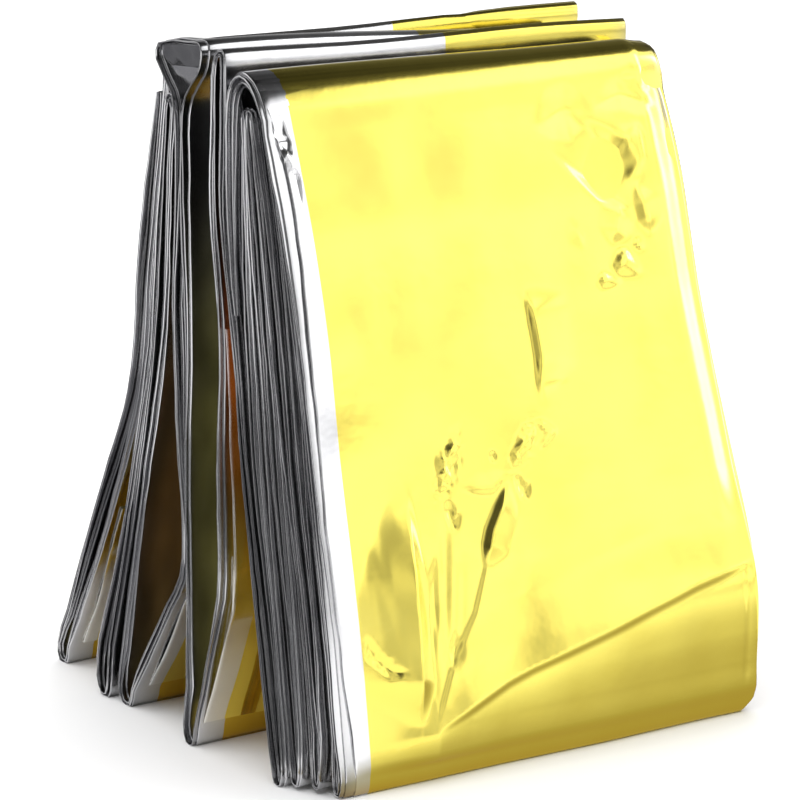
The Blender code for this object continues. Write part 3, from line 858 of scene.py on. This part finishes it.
def floor():
    """A plain pale floor."""
    mesh = bpy.data.meshes.new("floor")
    r = 6.0
    mesh.from_pydata([(-r, -r, 0), (r, -r, 0), (r, r, 0), (-r, r, 0)], [], [(0, 1, 2, 3)])
    thing = bpy.data.objects.new("floor", mesh)
    bpy.context.scene.collection.objects.link(thing)
    material = bpy.data.materials.new("pale_floor")
    material.use_nodes = True
    shader = material.node_tree.nodes["Principled BSDF"]
    shader.inputs["Base Color"].default_value = (0.90, 0.90, 0.90, 1.0)
    shader.inputs["Roughness"].default_value = 0.7
    thing.data.materials.append(material)


def card(name, grid, colours):
    """A shining sheet that only the film's reflections see, with a colour at each of its points."""
    rows, cols = grid.shape[:2]
    index = np.arange(rows * cols).reshape(rows, cols)
    faces = np.stack([index[:-1, :-1], index[:-1, 1:], index[1:, 1:], index[1:, :-1]], axis=-1).reshape(-1, 4)
    mesh = bpy.data.meshes.new(name)
    mesh.from_pydata(grid.reshape(-1, 3).tolist(), [], faces.tolist())
    shine = mesh.attributes.new("shine", "FLOAT_VECTOR", "POINT")
    shine.data.foreach_set("vector", colours.reshape(-1, 3).astype(np.float32).ravel())
    thing = bpy.data.objects.new(name, mesh)
    bpy.context.scene.collection.objects.link(thing)
    thing.visible_camera = False
    thing.visible_diffuse = False
    thing.visible_shadow = False
    material = bpy.data.materials.new(name)
    material.use_nodes = True
    tree = material.node_tree
    tree.nodes.clear()
    colour = node(tree, "ShaderNodeAttribute", attribute_name="shine").outputs["Color"]
    shining = node(tree, "ShaderNodeEmission", {"Color": colour, "Strength": 1.0}).outputs[0]
    node(tree, "ShaderNodeOutputMaterial", {"Surface": shining})
    thing.data.materials.append(material)


# Painted shadow on the floor that the lower part of the front mirrors, darkest near the base and brightening
# further off: distance on the floor as a share of the crease's height, and its colour.
FLOOR_SHADOW_CARD = (
    (-0.2, (0.30, 0.22, 0.12)), (0.0, (0.44, 0.35, 0.18)), (0.18, (0.46, 0.39, 0.22)), (0.54, (0.50, 0.46, 0.30)),
    (1.0, (0.62, 0.58, 0.46)), (1.67, (0.80, 0.78, 0.68)), (3.0, (1.02, 1.02, 0.98)),
    (5.0, (1.18, 1.20, 1.22)), (9.0, (1.35, 1.37, 1.38)),
    (20.0, (1.50, 1.50, 1.50)),
)


def cards():
    """Painted shadow on the floor, seen only in the film's reflections: a graded card in front of the blanket,
    darkest near its base, and a grey one behind its left end.
    """
    rows = []
    for x in np.linspace(-8.0, 110.0, 16):
        crease = max(9.0, float(np.interp(x, *np.array(LOWER_CREASE).T)))
        rows.append([(x + 0.70 * q * crease - CENTRE_X, -2.6 - q * crease - CENTRE_Y, 0.3)
                     for q, colour in FLOOR_SHADOW_CARD])
    grid = np.array(rows) * MM
    card("floor_shadow_card", grid, np.array([[colour for q, colour in FLOOR_SHADOW_CARD]] * len(rows)))
    # painted shade: a grey card behind the left end, darker further out to the left, which the films' ends mirror
    corners = np.array([[(-0.055, -0.06, 0.0003), (-0.60, -0.06, 0.0003)],
                        [(-0.055, 0.80, 0.0003), (-0.60, 0.80, 0.0003)]])
    card("end_shadow_card", corners, np.array([[(0.26, 0.26, 0.27), (0.16, 0.16, 0.17)]] * 2))


def panel(name, towards, far, wide, high, radiance, aim=(0.0, 0.0, 0.06), seen=True):
    """A soft rectangular light in the direction towards, facing the blanket."""
    light = bpy.data.lights.new(name, "AREA")
    light.shape = "RECTANGLE"
    light.size, light.size_y = wide, high
    light.energy = radiance * math.pi * wide * high
    thing = bpy.data.objects.new(name, light)
    bpy.context.scene.collection.objects.link(thing)
    way = Vector(towards).normalized()
    thing.location = Vector(aim) + way * far
    thing.rotation_euler = way.to_track_quat("Z", "Y").to_euler()
    thing.visible_camera = False
    thing.visible_glossy = seen


# Panels of the studio: compass direction, its left and right borders, its low and high ones, softness, radiance.
PANELS = (
    (-38.0, (-0.55, 0.72), (0.00, 0.86), (0.12, 0.055), 1.80),
    (-38.0, (0.21, 0.36), (-0.20, 0.60), (0.05, 0.10), 5.0),
    (-92.0, (-0.12, 0.56), (-0.30, 0.60), (0.12, 0.15), 0.80),
    (60.0, (-0.60, 0.60), (0.10, 0.45), (0.20, 0.20), 0.28),
    (160.0, (-0.60, 0.60), (0.15, 0.80), (0.15, 0.15), 1.30),
    (105.0, (-0.55, 0.60), (0.06, 0.60), (0.20, 0.12), 1.10),
)


def glow(tree, seen, turn, wide, high, soft, radiance):
    """A soft rectangle of light far away, round the compass direction turn: wide and high are tangents."""
    c, s = math.cos(math.radians(turn)), math.sin(math.radians(turn))
    ahead = node(tree, "ShaderNodeVectorMath", {0: seen, 1: (c, s, 0.0)}, operation="DOT_PRODUCT").outputs["Value"]
    aside = node(tree, "ShaderNodeVectorMath", {0: seen, 1: (-s, c, 0.0)}, operation="DOT_PRODUCT").outputs["Value"]
    up = node(tree, "ShaderNodeVectorMath", {0: seen, 1: (0.0, 0.0, 1.0)}, operation="DOT_PRODUCT").outputs["Value"]
    near = node(tree, "ShaderNodeMath", {0: ahead, 1: 0.02}, operation="MAXIMUM").outputs[0]
    total = node(tree, "ShaderNodeMath", {0: ahead, 1: 0.05}, operation="GREATER_THAN").outputs[0]
    for along, (low, top), edge in ((aside, wide, soft[0]), (up, high, soft[1])):
        place = node(tree, "ShaderNodeMath", {0: along, 1: near}, operation="DIVIDE").outputs[0]
        for a, b, first, last in ((low - edge, low + edge, 0.0, 1.0), (top - edge, top + edge, 1.0, 0.0)):
            step = node(
                tree,
                "ShaderNodeMapRange",
                {"Value": place, "From Min": a, "From Max": b, "To Min": first, "To Max": last},
                interpolation_type="SMOOTHSTEP",
            )
            total = node(tree, "ShaderNodeMath", {0: total, 1: step.outputs[0]}, operation="MULTIPLY").outputs[0]
    return node(tree, "ShaderNodeMath", {0: total, 1: radiance}, operation="MULTIPLY").outputs[0]


def studio():
    """A dark room with soft panels round the blanket, a pale horizon, and an even light from above."""
    world = bpy.data.worlds.new("studio")
    bpy.context.scene.world = world
    world.use_nodes = True
    tree = world.node_tree
    seen = node(tree, "ShaderNodeTexCoord").outputs["Generated"]
    up = node(tree, "ShaderNodeSeparateXYZ", {0: seen}).outputs["Z"]
    total = node(
        tree,
        "ShaderNodeMapRange",
        {"Value": up, "From Min": 0.05, "From Max": 0.15, "To Min": 0.20, "To Max": 0.10},
        interpolation_type="SMOOTHSTEP",
    ).outputs[0]
    for turn, wide, high, soft, radiance in PANELS:
        light = glow(tree, seen, turn, wide, high, soft, radiance)
        total = node(tree, "ShaderNodeMath", {0: total, 1: light}, operation="ADD").outputs[0]
    fade = node(
        tree,
        "ShaderNodeMapRange",
        {"Value": up, "From Min": 0.6, "From Max": 0.95, "To Min": 1.0, "To Max": 0.25},
    ).outputs[0]
    total = node(tree, "ShaderNodeMath", {0: total, 1: fade}, operation="MULTIPLY").outputs[0]
    # the panels are not quite even
    uneven = node(tree, "ShaderNodeTexNoise", {"Vector": seen, "Scale": 5.0, "Detail": 1.5}).outputs["Fac"]
    uneven = node(
        tree,
        "ShaderNodeMapRange",
        {"Value": uneven, "From Min": 0.36, "From Max": 0.62, "To Min": 0.56, "To Max": 1.15},
    ).outputs[0]
    total = node(tree, "ShaderNodeMath", {0: total, 1: uneven}, operation="MULTIPLY").outputs[0]
    tree.links.new(total, tree.nodes["Background"].inputs["Strength"])
    tree.nodes["Background"].inputs["Color"].default_value = (1.0, 1.0, 1.0, 1.0)
    panel("top_light", (0.0, 0.0, 1.0), 1.6, 3.0, 3.0, 2.6, aim=(0.15, 0.35, 0.0), seen=False)


def camera():
    """The photograph's viewpoint: 35 degrees to the left of the front, looking 13.8 degrees down."""
    turn, down = math.radians(35.0), math.radians(13.77)
    right = Vector((math.cos(turn), -math.sin(turn), 0.0))
    ahead = Vector((math.sin(turn) * math.cos(down), math.cos(turn) * math.cos(down), -math.sin(down)))
    above = right.cross(ahead)
    data = bpy.data.cameras.new("camera")
    data.sensor_width = 36.0
    data.lens = 163.44
    data.clip_start = 0.01
    thing = bpy.data.objects.new("camera", data)
    bpy.context.scene.collection.objects.link(thing)
    turned = Matrix((right, above, -ahead)).transposed()
    thing.matrix_world = Matrix.Translation(Vector((-0.36551, -0.52451, 0.21081))) @ turned.to_4x4()
    bpy.context.scene.camera = thing


def blanket():
    stack, front = Sheet(), Sheet()
    packet_rings(stack)
    end_gusset(stack)
    inner_films(stack)
    for leaf, share, edge, push in LOOSE_FILMS:
        loose_film(stack, leaf, share, edge, push)
    front_film(front)
    material = film_material()
    films = [stack.make("foil_film"), front.make("foil_front_film")]
    for film in films:
        film.data.materials.append(material)
        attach(film, "root")
        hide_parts("foil_blanket")


blanket()
floor()
cards()
studio()
camera()
bpy.context.scene.view_settings.view_transform = "Standard"
